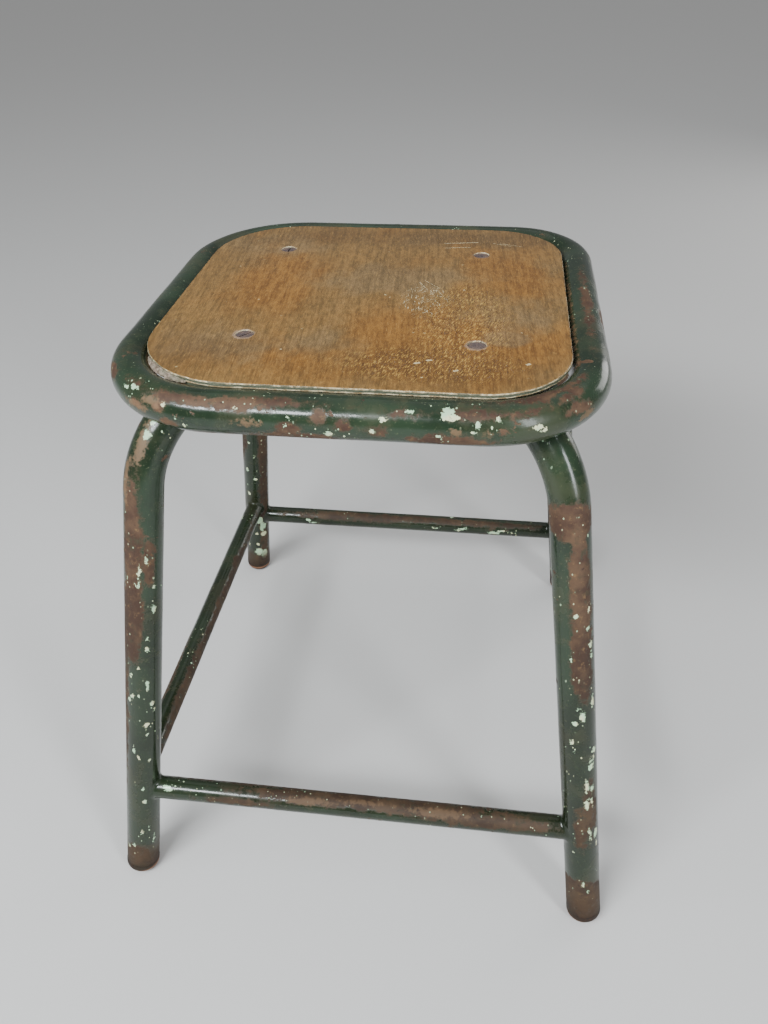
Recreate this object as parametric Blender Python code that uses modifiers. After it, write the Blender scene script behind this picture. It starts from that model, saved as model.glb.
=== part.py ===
"""Low workshop stool: a square ring of steel tube with rounded corners carries a plywood seat, and four
splayed tube legs bend over under the ring, run in below the seat, and are tied by four cross tubes.

Metres, +Z up. The origin is on the floor, in the middle of the four feet. The front is -Y.
Run with: blender --background --python part.py
"""

from math import atan2, cos, hypot, pi, radians, sin, sqrt, tan

import bmesh
import bpy
from mathutils import Matrix, Vector

NAME = "workshop_stool"
GAP = 0.0003  # clearance left between two pieces that touch

# Seat ring: bent steel tube, its ends butt-welded at the middle of the back
RING_TOP = 0.458
RING_TUBE = 0.014  # outer radius of the tube
RING_WALL = 0.0018
RING_HALF = (0.1548, 0.1559)  # from the middle to the tube's centre line, along X and Y
RING_CENTRE = Vector((-0.0017, 0.0005))  # the ring was welded on slightly off the middle of the feet
RING_CORNER = {"front_left": 0.074, "front_right": 0.0705, "back_left": 0.080, "back_right": 0.053}
BUTT_WELD = 0.003

# Legs: steel tube of the ring's size
LEG_TUBE = 0.014
LEG_WALL = 0.0016
LEG_BEND = 0.0766  # radius of the bend's centre line
LEG_ARM_Z = 0.4346  # centre line of the level arm under the seat
FOOT = {  # where a leg's centre line meets the floor, outwards along X and Y
    "front_left": (0.1952, 0.2078),
    "front_right": (0.1947, 0.2092),
    "back_left": (0.1918, 0.2094),
    "back_right": (0.1932, 0.2086),
}
WELD_TURN = {"front_left": 0, "front_right": 4.9, "back_left": 0, "back_right": 0}  # degrees off a corner's middle
ARM_END = 0.026  # how far the arm runs on past its seat screw
FOOT_EDGE = 0.0065  # rounding of the foot cap's edge
FOOT_HEIGHT = 0.0072  # height above the floor of the middle of that rounding
SPIGOT = 0.006

# Cross tubes
RAIL_TUBE = 0.0095
RAIL_WALL = 0.0015
RAIL_Z = {"front": 0.0949, "back": 0.0948, "left": 0.1137, "right": 0.1137}
BRAZE = 0.0042  # how far a joint's fillet spreads over each tube
BRAZE_TOE = 0.0004  # thickness at the fillet's edges

# Seat panel: plywood, chamfered below where it beds on the ring
PANEL_TOP = 0.4588
PANEL_THICK = 0.0092
PANEL_HALF = (0.1430, 0.1459)
PANEL_CENTRE = (-0.0026, -0.0001)
PANEL_CORNER = {"front_left": 0.071, "front_right": 0.058, "back_left": 0.070, "back_right": 0.057}
PANEL_CHAMFER = (0.0046, 0.0058)  # inward, upward
PANEL_ROUND = 0.0009

# Countersunk screws through the panel and the leg arms
SCREW_AT = {  # outwards from the panel's middle, along X and Y; the holes were drilled by eye
    "front_left": (0.0776, 0.0760),
    "front_right": (0.0810, 0.0801),
    "back_left": (0.0822, 0.0875),
    "back_right": (0.0784, 0.0848),
}
SCREW_SHANK = 0.0031
SCREW_HEAD = 0.0064
SCREW_SINK = 0.0008  # head below the seat's surface
SLOT = (0.0013, 0.0011)  # width, depth
WASHER = (0.0080, 0.0015)  # radius, thickness
NUT = (0.0064, 0.0052)  # radius over the corners, height

CORNERS = [(side_y, side_x) for side_y in ("front", "back") for side_x in ("left", "right")]
SIGN = {"front": -1, "back": 1, "left": -1, "right": 1}
RING_Z = RING_TOP - RING_TUBE

GREEN = (0.055, 0.090, 0.062)
RUST = (0.130, 0.055, 0.028)
PLY = (0.300, 0.150, 0.055)
DULL_STEEL = (0.150, 0.130, 0.120)

PARTS = None
CUTTERS = None


# ---------------------------------------------------------------- scene and materials


def clear_scene():
    for obj in list(bpy.data.objects):
        bpy.data.objects.remove(obj, do_unlink=True)
    for collection in list(bpy.data.collections):
        bpy.data.collections.remove(collection)


def new_collection(name):
    collection = bpy.data.collections.new(name)
    bpy.context.scene.collection.children.link(collection)
    return collection


def material(name, colour, roughness, metallic):
    made = bpy.data.materials.new(name)
    made.use_nodes = True
    shader = made.node_tree.nodes["Principled BSDF"]
    shader.inputs["Base Color"].default_value = (*colour, 1)
    shader.inputs["Roughness"].default_value = roughness
    shader.inputs["Metallic"].default_value = metallic
    return made


def keep(obj, colour, roughness, metallic):
    """Files a finished piece under PARTS, with a material of its own."""
    PARTS.objects.link(obj)
    obj.data.materials.clear()
    obj.data.materials.append(material(obj.name, colour, roughness, metallic))
    obj.data.shade_smooth()
    obj.data.set_sharp_from_angle(angle=radians(32))
    return obj


def as_cutter(obj):
    CUTTERS.objects.link(obj)
    obj.hide_render = True
    obj.display_type = "WIRE"
    return obj


def cut(obj, *cutters):
    for cutter in cutters:
        modifier = obj.modifiers.new(f"cut_{cutter.name}", "BOOLEAN")
        modifier.operation = "DIFFERENCE"
        modifier.solver = "EXACT"
        modifier.object = cutter


# ---------------------------------------------------------------- shapes


def from_bmesh(name, mesh_maker):
    mesh = bpy.data.meshes.new(name)
    shape = bmesh.new()
    mesh_maker(shape)
    bmesh.ops.recalc_face_normals(shape, faces=shape.faces)
    shape.to_mesh(mesh)
    shape.free()
    return bpy.data.objects.new(name, mesh)


def place(obj, origin, direction, roll_to=Vector((0, 0, 1))):
    """Puts the object's origin at a point, with its Z along a direction and its X as near roll_to as it can be."""
    z = Vector(direction).normalized()
    x = (roll_to - z * roll_to.dot(z)).normalized()
    turned = Matrix((x, z.cross(x), z)).transposed()
    obj.matrix_world = Matrix.Translation(origin) @ turned.to_4x4()
    return obj


def cylinder(name, radius, start, end, segments=24):
    """A solid cylinder between two points."""
    start, end = Vector(start), Vector(end)
    length = (end - start).length
    obj = from_bmesh(
        name,
        lambda shape: bmesh.ops.create_cone(
            shape, cap_ends=True, segments=segments, radius1=radius, radius2=radius, depth=length
        ),
    )
    roll = Vector((0, 0, 1)) if abs((end - start).normalized().z) < 0.9 else Vector((1, 0, 0))
    return place(obj, (start + end) / 2, end - start, roll)


def tube_mesh(name, points, radius, cyclic=False, segments=20):
    """The solid that a round section sweeps along the points: a bevelled curve, made a mesh with its caps welded."""
    curve = bpy.data.curves.new(name, "CURVE")
    curve.dimensions = "3D"
    curve.bevel_depth = radius
    curve.bevel_resolution = segments // 2 - 2
    curve.use_fill_caps = not cyclic
    spline = curve.splines.new("POLY")
    spline.points.add(len(points) - 1)
    for slot, point in zip(spline.points, points):
        slot.co = (*point, 1)
    spline.use_cyclic_u = cyclic
    guide = bpy.data.objects.new(name + "_path", curve)
    bpy.context.scene.collection.objects.link(guide)
    graph = bpy.context.evaluated_depsgraph_get()
    mesh = bpy.data.meshes.new_from_object(guide.evaluated_get(graph))
    shape = bmesh.new()
    shape.from_mesh(mesh)
    bmesh.ops.remove_doubles(shape, verts=shape.verts, dist=0.00001)
    bmesh.ops.recalc_face_normals(shape, faces=shape.faces)
    shape.to_mesh(mesh)
    shape.free()
    obj = bpy.data.objects.new(name, mesh)
    obj.matrix_world = guide.matrix_world
    bpy.data.objects.remove(guide, do_unlink=True)
    bpy.data.curves.remove(curve)
    return obj


def turned(name, profile, steps=20):
    """A solid of revolution about Z. The profile is (radius, height) pairs, down its outer side, from axis to axis."""
    mesh = bpy.data.meshes.new(name)
    shape = bmesh.new()
    corners = [shape.verts.new((radius, 0, height)) for radius, height in profile]
    for first, second in zip(corners, corners[1:]):
        shape.edges.new((first, second))
    shape.to_mesh(mesh)
    shape.free()
    obj = bpy.data.objects.new(name, mesh)
    screw = obj.modifiers.new("turn", "SCREW")
    screw.steps = steps
    screw.render_steps = steps
    screw.use_merge_vertices = True
    screw.merge_threshold = 0.00001
    return obj


def arc(centre, radius, first, last, steps):
    """Points of an arc in a profile's plane, angles in degrees."""
    turns = [radians(first + (last - first) * i / steps) for i in range(steps + 1)]
    return [(centre[0] + radius * cos(turn), centre[1] + radius * sin(turn)) for turn in turns]


def rounded_outline(half, corner, steps):
    """A rectangle with rounded corners, counter-clockwise from the middle of its right side."""
    outline = [(half[0], 0)]
    for index, (side_y, side_x) in enumerate(
        (("back", "right"), ("back", "left"), ("front", "left"), ("front", "right"))
    ):
        radius = corner[f"{side_y}_{side_x}"]
        middle = (SIGN[side_x] * (half[0] - radius), SIGN[side_y] * (half[1] - radius))
        outline += arc(middle, radius, 90 * index, 90 * index + 90, steps)
    return outline


# ---------------------------------------------------------------- geometry of the frame


def screw_point(side_y, side_x, z):
    x, y = SCREW_AT[f"{side_y}_{side_x}"]
    return Vector((PANEL_CENTRE[0] + SIGN[side_x] * x, PANEL_CENTRE[1] + SIGN[side_y] * y, z))


def ring_seat(side_y, side_x):
    """The point of the ring's centre line over a leg, at or near the middle of a corner's bend."""
    corner = f"{side_y}_{side_x}"
    radius = RING_CORNER[corner]
    turn = atan2(SIGN[side_y], SIGN[side_x]) + radians(WELD_TURN[corner])
    x = SIGN[side_x] * (RING_HALF[0] - radius) + radius * cos(turn)
    y = SIGN[side_y] * (RING_HALF[1] - radius) + radius * sin(turn)
    return Vector((RING_CENTRE.x + x, RING_CENTRE.y + y, RING_Z))


def foot_point(side_y, side_x):
    x, y = FOOT[f"{side_y}_{side_x}"]
    return Vector((SIGN[side_x] * x, SIGN[side_y] * y, 0))


def leg_knee(side_y, side_x):
    """Where a leg's straight part and its arm would meet if the bend were sharp.

    The bend passes just clear of the underside of the ring, so it is found from the ring: the middle of the
    bend lies inside the point where they meet by `inward` and below it by `below`, at the two radii and the gap.
    """
    seat = ring_seat(side_y, side_x)
    inner = screw_point(side_y, side_x, LEG_ARM_Z)
    foot = foot_point(side_y, side_x)
    arm = Vector((inner.x - seat.x, inner.y - seat.y)).normalized()
    below = RING_Z - (LEG_ARM_Z - LEG_BEND)
    inward = sqrt((LEG_BEND + LEG_TUBE + RING_TUBE + 2 * GAP) ** 2 - below**2)
    centre = Vector((seat.x, seat.y)) + arm * inward
    reach = LEG_BEND
    for _ in range(12):
        knee = centre - arm * reach
        run = hypot(foot.x - knee.x, foot.y - knee.y)
        lean = atan2(run, LEG_ARM_Z)
        reach = LEG_BEND * tan((pi / 2 - lean) / 2)
    return Vector((knee.x, knee.y, LEG_ARM_Z))


def leg_path(side_y, side_x, start=0.0, steps=9):
    """A leg's centre line from `start` metres up its straight part, round the bend and along the arm."""
    foot, knee = foot_point(side_y, side_x), leg_knee(side_y, side_x)
    inner = screw_point(side_y, side_x, LEG_ARM_Z)
    up = (knee - foot).normalized()
    along = (inner - knee).normalized()
    swing = up.angle(along)
    tangent = LEG_BEND * tan(swing / 2)
    first = knee - up * tangent
    normal = (along - up * along.dot(up)).normalized()
    points = [foot + up * start]
    for i in range(steps + 1):
        turn = swing * i / steps
        points.append(first + up * (LEG_BEND * sin(turn)) + normal * (LEG_BEND * (1 - cos(turn))))
    points.append(inner + along * ARM_END)
    return points


def leg_point(side_y, side_x, z):
    """The point of a leg's straight centre line at a height."""
    foot, knee = foot_point(side_y, side_x), leg_knee(side_y, side_x)
    return foot + (knee - foot) * (z / knee.z)


def leg_lean(side_y, side_x):
    return (leg_knee(side_y, side_x) - foot_point(side_y, side_x)).normalized()


# ---------------------------------------------------------------- seat ring


def ring_outline(steps):
    outline = rounded_outline(RING_HALF, RING_CORNER, steps)
    return [Vector((RING_CENTRE.x + x, RING_CENTRE.y + y, RING_Z)) for x, y in outline]


def make_ring():
    """The ring's tube starts and ends either side of its butt weld, so its bore stays open."""
    loop = ring_outline(7)
    weld = Vector((RING_CENTRE.x, RING_CENTRE.y + RING_HALF[1], RING_Z))
    back = next(i for i, (a, b) in enumerate(zip(loop, loop[1:])) if a.x > weld.x > b.x and a.y > 0)
    half = Vector((BUTT_WELD / 2, 0, 0))
    path = [weld - half] + loop[back + 1 :] + loop[: back + 1] + [weld + half]
    bore = as_cutter(tube_mesh("ring_bore", loop, RING_TUBE - RING_WALL, cyclic=True, segments=14))
    ring = tube_mesh("seat_ring", path, RING_TUBE)
    cut(ring, bore)
    keep(ring, GREEN, 0.38, 0.1)

    bead_half = half - Vector((GAP, 0, 0))
    bead = cylinder("ring_butt_weld", RING_TUBE + 0.0003, weld - bead_half, weld + bead_half)
    cut(bead, as_cutter(cylinder("weld_bore", RING_TUBE - RING_WALL, weld - 2 * half, weld + 2 * half, 16)))
    keep(bead, GREEN, 0.42, 0.1)
    return as_cutter(tube_mesh("ring_clearance", loop, RING_TUBE + GAP, cyclic=True))


# ---------------------------------------------------------------- legs and feet


def make_leg(side_y, side_x):
    """The leg's tube, open at its foot for the cap's spigot and at the end of its arm. Returns its clearance."""
    corner = f"{side_y}_{side_x}"
    lean = leg_lean(side_y, side_x)
    start = FOOT_HEIGHT / lean.z + 0.003 + GAP
    path = leg_path(side_y, side_x, start)
    inner = screw_point(side_y, side_x, 0)
    past = (path[-1] - path[-2]).normalized() * 0.004
    bore_path = [path[0] - lean * 0.004] + path[1:-1] + [path[-1] + past]

    leg = tube_mesh(f"leg_{corner}", path, LEG_TUBE)
    bore = as_cutter(tube_mesh(f"leg_bore_{corner}", bore_path, LEG_TUBE - LEG_WALL, segments=14))
    low, high = Vector((0, 0, LEG_ARM_Z - 0.020)), Vector((0, 0, LEG_ARM_Z + 0.020))
    hole = as_cutter(cylinder(f"arm_hole_{corner}", SCREW_SHANK + GAP, inner + low, inner + high, 12))
    cut(leg, bore, hole)
    keep(leg, GREEN, 0.36, 0.1)
    return as_cutter(tube_mesh(f"leg_clearance_{corner}", leg_path(side_y, side_x), LEG_TUBE + GAP))


def make_foot(side_y, side_x, floor):
    """A domed steel cap with a spigot up the tube. Its underside is worn to a small flat on the floor."""
    corner = f"{side_y}_{side_x}"
    lean = leg_lean(side_y, side_x)
    spigot = LEG_TUBE - LEG_WALL - GAP
    profile = [(0, 0.003 + SPIGOT), (spigot - 0.0008, 0.003 + SPIGOT), (spigot, 0.0022 + SPIGOT)]
    profile += [(spigot, 0.003), (LEG_TUBE, 0.003)]
    profile += arc((LEG_TUBE - FOOT_EDGE, 0), FOOT_EDGE, 0, -90, 4)
    profile += [(0, -FOOT_EDGE)]
    cap = turned(f"foot_cap_{corner}", profile)
    place(cap, foot_point(side_y, side_x) + lean * (FOOT_HEIGHT / lean.z), lean, Vector((1, 0, 0)))
    cut(cap, floor)
    keep(cap, RUST, 0.62, 0.35)


def make_seat_weld(side_y, side_x, ring_clearance, leg_clearance):
    """The bead all round the place where the ring lies on the bend of a leg."""
    seat = ring_seat(side_y, side_x)
    path = leg_path(side_y, side_x)
    nearest = min(path[1:-1], key=lambda point: (point - seat).length)
    down = (nearest - seat).normalized()
    middle = seat + down * RING_TUBE
    bead = from_bmesh(
        f"seat_weld_{side_y}_{side_x}",
        lambda shape: bmesh.ops.create_uvsphere(
            shape, u_segments=16, v_segments=8, radius=1, matrix=Matrix.Diagonal((0.0115, 0.0115, 0.0060, 1))
        ),
    )
    place(bead, middle, -down, Vector((SIGN[side_x], SIGN[side_y], 0)))
    cut(bead, ring_clearance, leg_clearance)
    keep(bead, GREEN, 0.42, 0.1)


# ---------------------------------------------------------------- cross tubes


def make_rail(side, ends, clearances):
    """A cross tube between two legs, its ends saddled to them, and the brazed fillet at each end."""
    z = RAIL_Z[side]
    first, last = (leg_point(*end, z) for end in ends)
    along = (last - first).normalized()
    rail = cylinder(f"rail_{side}", RAIL_TUBE, first, last, 20)
    bore = cylinder(f"rail_bore_{side}", RAIL_TUBE - RAIL_WALL, first - along * 0.002, last + along * 0.002, 16)
    cut(rail, as_cutter(bore), *(clearances[end] for end in ends))
    keep(rail, GREEN, 0.40, 0.1)
    make_braze(side, ends[0], first, along)
    make_braze(side, ends[1], last, -along)


def saddle(rho, out, way, lean):
    """How far along a cross tube the leg's surface lies, on a line `rho` off the tube's axis towards `out`."""
    radius = LEG_TUBE + GAP
    way_flat = way - lean * way.dot(lean)
    out_flat = (out - lean * out.dot(lean)) * rho
    a, b, c = way_flat.dot(way_flat), way_flat.dot(out_flat), out_flat.dot(out_flat) - radius**2
    return (sqrt(b * b - a * c) - b) / a


def make_braze(side, end, start, way, steps=20):
    """The brazed fillet at a joint: a concave section carried round the saddle where the two tubes meet.

    The saddle's depth changes all the way round, so the section is lofted: a root in the corner, a toe on
    the leg, a toe on the cross tube, and a hollow face between the toes.
    """
    lean = leg_lean(*end)
    up = (lean - way * lean.dot(way)).normalized()
    across = way.cross(up)
    inner = RAIL_TUBE + GAP
    shape = bmesh.new()
    rings = []
    for step in range(steps):
        turn = 2 * pi * step / steps
        out = up * cos(turn) + across * sin(turn)
        spread = BRAZE * (0.8 + 0.2 * cos(2 * turn))
        root = Vector((inner, saddle(inner, out, way, lean)))
        leg_toe = Vector((inner + spread, saddle(inner + spread, out, way, lean)))
        rail_toe = Vector((inner, root.y + spread))
        leg_top, rail_top = leg_toe + Vector((0, BRAZE_TOE)), rail_toe + Vector((BRAZE_TOE, 0))
        hollow = root + Vector((BRAZE_TOE, BRAZE_TOE))
        section = [root, leg_toe, leg_top]
        for share in (0.25, 0.5, 0.75):
            near, far = leg_top.lerp(hollow, share), hollow.lerp(rail_top, share)
            section.append(near.lerp(far, share))
        section += [rail_top, rail_toe]
        rings.append([shape.verts.new(start + out * rho + way * reach) for rho, reach in section])
    for first, second in zip(rings, rings[1:] + rings[:1]):
        for i, corner in enumerate(first):
            after = (i + 1) % len(first)
            shape.faces.new((corner, first[after], second[after], second[i]))
    bmesh.ops.recalc_face_normals(shape, faces=shape.faces)
    mesh = bpy.data.meshes.new("braze")
    shape.to_mesh(mesh)
    shape.free()
    keep(bpy.data.objects.new(f"braze_{side}_{end[0]}_{end[1]}", mesh), GREEN, 0.45, 0.1)


# ---------------------------------------------------------------- seat and its screws


def make_panel():
    """The panel's outline is a flat filled curve; its underside is drawn in by a chamfer, its rim rounded."""
    curve = bpy.data.curves.new("panel_outline", "CURVE")
    curve.dimensions = "2D"
    curve.fill_mode = "BOTH"
    curve.extrude = PANEL_THICK / 2
    spline = curve.splines.new("POLY")
    outline = rounded_outline(PANEL_HALF, PANEL_CORNER, 7)
    spline.points.add(len(outline) - 1)
    for slot, (x, y) in zip(spline.points, outline):
        slot.co = (x, y, 0, 1)
    spline.use_cyclic_u = True
    guide = bpy.data.objects.new("panel_guide", curve)
    bpy.context.scene.collection.objects.link(guide)
    mesh = bpy.data.meshes.new_from_object(guide.evaluated_get(bpy.context.evaluated_depsgraph_get()))
    shape = bmesh.new()
    shape.from_mesh(mesh)
    bmesh.ops.remove_doubles(shape, verts=shape.verts, dist=0.00001)
    draw_in_underside(shape)
    round_rim(shape)
    bmesh.ops.recalc_face_normals(shape, faces=shape.faces)
    shape.to_mesh(mesh)
    shape.free()
    panel = bpy.data.objects.new("seat_panel", mesh)
    bpy.data.objects.remove(guide, do_unlink=True)
    bpy.data.curves.remove(curve)
    panel.location = (*PANEL_CENTRE, PANEL_TOP - PANEL_THICK / 2)
    return panel


def draw_in_underside(shape):
    """Insets the lower rim by the chamfer's width, after a loop is cut at its height."""
    level = -PANEL_THICK / 2 + PANEL_CHAMFER[1]
    geometry = shape.verts[:] + shape.edges[:] + shape.faces[:]
    bmesh.ops.bisect_plane(shape, geom=geometry, dist=0.00001, plane_co=(0, 0, level), plane_no=(0, 0, 1))
    shares = [1 - PANEL_CHAMFER[0] / half for half in PANEL_HALF]
    for vert in shape.verts:
        if vert.co.z < level - 0.001:
            vert.co.x *= shares[0]
            vert.co.y *= shares[1]


def round_rim(shape):
    """A small round along the top edge."""
    top = PANEL_THICK / 2 - 0.00001
    rim = [
        edge
        for edge in shape.edges
        if all(vert.co.z > top for vert in edge.verts)
        and len(edge.link_faces) == 2
        and any(abs(face.normal.z) < 0.5 for face in edge.link_faces)
    ]
    bmesh.ops.bevel(shape, geom=rim, offset=PANEL_ROUND, segments=2, profile=0.5, affect="EDGES")


def screw_head_cone(name, clearance, over):
    """The shape of a countersunk head: a short rim over a 90-degree cone that runs into the shank."""
    radius, shank = SCREW_HEAD + clearance, SCREW_SHANK + clearance
    depth = radius - shank
    return turned(
        name,
        [(0, over), (radius, over), (radius, -0.0004), (shank, -0.0004 - depth), (shank, -0.060), (0, -0.060)],
        16,
    )


def make_screws(panel):
    head_z = PANEL_TOP - SCREW_SINK
    arm_under = LEG_ARM_Z - LEG_TUBE
    for side_y, side_x in CORNERS:
        corner = f"{side_y}_{side_x}"
        at = screw_point(side_y, side_x, 0)
        hole = as_cutter(screw_head_cone(f"screw_hole_{corner}", GAP, 0.003))
        hole.location = (at.x, at.y, head_z)
        cut(panel, hole)
        make_screw(corner, at, head_z, arm_under)
        washer_top = arm_under - GAP
        make_washer(corner, at, washer_top)
        make_nut(corner, at, washer_top - WASHER[1] - GAP)


def make_screw(corner, at, head_z, arm_under):
    tip = arm_under - WASHER[1] - NUT[1] - 0.0030
    length = head_z - tip
    depth = SCREW_HEAD - SCREW_SHANK
    profile = [(0, 0), (SCREW_HEAD, 0), (SCREW_HEAD, -0.0004), (SCREW_SHANK, -0.0004 - depth)]
    profile += [(SCREW_SHANK, 0.0006 - length), (SCREW_SHANK - 0.0006, -length), (0, -length)]
    screw = turned(f"seat_screw_{corner}", profile, 16)
    screw.location = (at.x, at.y, head_z)
    slot = from_bmesh(
        f"screw_slot_{corner}",
        lambda shape: bmesh.ops.create_cube(shape, size=1, matrix=Matrix.Diagonal((0.020, SLOT[0], SLOT[1] * 2, 1))),
    )
    slot.location = (at.x, at.y, head_z)
    slot.rotation_euler.z = radians(35 + 55 * (SIGN[corner.split("_")[1]] + 2 * SIGN[corner.split("_")[0]]))
    cut(screw, as_cutter(slot))
    keep(screw, DULL_STEEL, 0.50, 0.7)


def make_washer(corner, at, top):
    bore = SCREW_SHANK + GAP
    profile = [(bore, top), (WASHER[0], top), (WASHER[0], top - WASHER[1]), (bore, top - WASHER[1]), (bore, top)]
    washer = turned(f"washer_{corner}", profile, 20)
    washer.location = (at.x, at.y, 0)
    keep(washer, DULL_STEEL, 0.55, 0.7)


def make_nut(corner, at, top):
    nut = cylinder(f"nut_{corner}", NUT[0], at + Vector((0, 0, top - NUT[1])), at + Vector((0, 0, top)), 6)
    ends = Vector((0, 0, top - NUT[1] - 0.002)), Vector((0, 0, top + 0.002))
    cut(nut, as_cutter(cylinder(f"nut_bore_{corner}", SCREW_SHANK + GAP, at + ends[0], at + ends[1], 16)))
    keep(nut, DULL_STEEL, 0.55, 0.7)


# ---------------------------------------------------------------- assembly


def build():
    global PARTS, CUTTERS
    clear_scene()
    PARTS, CUTTERS = new_collection(NAME), new_collection("cutters")

    floor = from_bmesh(
        "floor_cut", lambda shape: bmesh.ops.create_cube(shape, size=1, matrix=Matrix.Translation((0, 0, -0.5)))
    )
    as_cutter(floor)
    ring_clearance = make_ring()
    clearances = {}
    for corner in CORNERS:
        clearances[corner] = make_leg(*corner)
        make_foot(*corner, floor)
        make_seat_weld(*corner, ring_clearance, clearances[corner])

    make_rail("front", (("front", "left"), ("front", "right")), clearances)
    make_rail("back", (("back", "left"), ("back", "right")), clearances)
    make_rail("left", (("front", "left"), ("back", "left")), clearances)
    make_rail("right", (("front", "right"), ("back", "right")), clearances)

    panel = make_panel()
    make_screws(panel)
    keep(panel, PLY, 0.42, 0.0)
    for obj in CUTTERS.objects:
        obj.hide_render = True


build()
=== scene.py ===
"""Looks for the low workshop stool: worn green paint over rusting steel tube, and a varnished plywood seat.

The tubes, joints, feet and board are rebuilt here at a finer grain, in the places of their CAD nodes, and
carry their own wear. The screws, washers and nuts are the CAD's own, with a better material.
Wear is drawn in two steps. Each tube's mesh holds smooth fields (rust, chips, bare stains) made from marks
drawn at random in described regions, and the paint's shader breaks the fields' edges up with fine noise.
"""

from math import atan2, cos, hypot, pi, radians, sin, sqrt, tan

import bmesh
import bpy
import numpy as np
from mathutils import Matrix, Vector, noise


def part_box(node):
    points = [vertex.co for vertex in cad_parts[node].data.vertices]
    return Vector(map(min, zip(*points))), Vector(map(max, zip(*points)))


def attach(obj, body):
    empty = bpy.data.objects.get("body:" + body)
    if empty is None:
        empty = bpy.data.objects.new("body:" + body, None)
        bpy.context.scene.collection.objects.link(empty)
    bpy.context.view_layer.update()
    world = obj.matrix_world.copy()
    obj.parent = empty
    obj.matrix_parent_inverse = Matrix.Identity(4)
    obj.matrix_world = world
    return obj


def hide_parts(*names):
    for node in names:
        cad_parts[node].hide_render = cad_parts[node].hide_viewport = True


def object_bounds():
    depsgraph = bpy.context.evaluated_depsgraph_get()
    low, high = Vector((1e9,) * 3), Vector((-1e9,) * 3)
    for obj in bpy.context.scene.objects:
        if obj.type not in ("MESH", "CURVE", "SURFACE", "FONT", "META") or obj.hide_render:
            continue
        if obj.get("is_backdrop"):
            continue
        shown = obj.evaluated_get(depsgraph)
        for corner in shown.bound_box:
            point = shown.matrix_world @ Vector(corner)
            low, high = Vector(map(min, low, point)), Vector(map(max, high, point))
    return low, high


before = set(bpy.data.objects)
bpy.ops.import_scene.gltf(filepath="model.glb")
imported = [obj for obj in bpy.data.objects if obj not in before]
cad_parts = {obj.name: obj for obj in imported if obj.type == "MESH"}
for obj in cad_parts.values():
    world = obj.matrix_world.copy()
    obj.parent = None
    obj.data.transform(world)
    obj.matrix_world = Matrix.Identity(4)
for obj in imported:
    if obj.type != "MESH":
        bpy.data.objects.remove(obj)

CAD_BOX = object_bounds()
SIGN = {"front": -1, "back": 1, "left": -1, "right": 1}
CORNERS = [(side_y, side_x) for side_y in ("front", "back") for side_x in ("left", "right")]

# Seat ring: its size and place come from its node, and the bends' radii repeat the design's
RING_LOW, RING_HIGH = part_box("seat_ring")
RING_TUBE = (RING_HIGH.z - RING_LOW.z) / 2
RING_MIDDLE = (RING_LOW + RING_HIGH) / 2
RING_HALF = ((RING_HIGH.x - RING_LOW.x) / 2 - RING_TUBE, (RING_HIGH.y - RING_LOW.y) / 2 - RING_TUBE)
RING_CORNER = {"front_left": 0.074, "front_right": 0.0705, "back_left": 0.080, "back_right": 0.053}

# Legs
LEG_TUBE = RING_TUBE
LEG_WALL = 0.0016
LEG_BEND = 0.0766
LEG_ARM_Z = 0.4346
FOOT = {
    "front_left": (0.1952, 0.2078),
    "front_right": (0.1947, 0.2092),
    "back_left": (0.1918, 0.2094),
    "back_right": (0.1932, 0.2086),
}
WELD_TURN = {"front_left": 0, "front_right": 4.9, "back_left": 0, "back_right": 0}
ARM_END = 0.026
FOOT_EDGE = 0.0065
FOOT_HEIGHT = 0.0072
CAP_TOP = 0.003  # where the tube starts above the foot's rounding
GAP = 0.0003
BEAD_REACH, BEAD_DEPTH = 0.0113, 0.0058  # half sizes of the weld under the ring

# Cross tubes
RAIL_TUBE = 0.0095
RAIL_Z = {"front": 0.0949, "back": 0.0948, "left": 0.1137, "right": 0.1137}
RAIL_ENDS = {
    "front": (("front", "left"), ("front", "right")),
    "back": (("back", "left"), ("back", "right")),
    "left": (("front", "left"), ("back", "left")),
    "right": (("front", "right"), ("back", "right")),
}
BRAZE = 0.0042
HIDDEN = 0.006  # from a leg's centre line to the end of a cross tube inside it

# Seat panel
PANEL_LOW, PANEL_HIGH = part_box("seat_panel")
PANEL_MIDDLE = (PANEL_LOW + PANEL_HIGH) / 2
PANEL_HALF = ((PANEL_HIGH.x - PANEL_LOW.x) / 2, (PANEL_HIGH.y - PANEL_LOW.y) / 2)
PANEL_CORNER = {"front_left": 0.071, "front_right": 0.058, "back_left": 0.070, "back_right": 0.057}
PANEL_CHAMFER = (0.0046, 0.0058)
PANEL_ROUND = 0.0009
UNDER_LOOPS = 24  # loops of the board's mesh on its underside

# Screws
SCREW_HEAD = 0.0064

STEP = 0.0016  # spacing of the rings of a swept tube


# ---- geometry of the frame, as the design has it ----


def arc(centre, radius, first, last, steps):
    turns = [radians(first + (last - first) * i / steps) for i in range(steps + 1)]
    return [(centre[0] + radius * cos(turn), centre[1] + radius * sin(turn)) for turn in turns]


def rounded_outline(half, corner, steps):
    """A rectangle with rounded corners, counter-clockwise from the middle of its right side."""
    outline = [(half[0], 0)]
    for index, (side_y, side_x) in enumerate(
        (("back", "right"), ("back", "left"), ("front", "left"), ("front", "right"))
    ):
        radius = corner[f"{side_y}_{side_x}"]
        middle = (SIGN[side_x] * (half[0] - radius), SIGN[side_y] * (half[1] - radius))
        outline += arc(middle, radius, 90 * index, 90 * index + 90, steps)
    return outline


def screw_point(side_y, side_x, z):
    low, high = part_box(f"seat_screw_{side_y}_{side_x}")
    return Vector(((low.x + high.x) / 2, (low.y + high.y) / 2, z))


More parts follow.
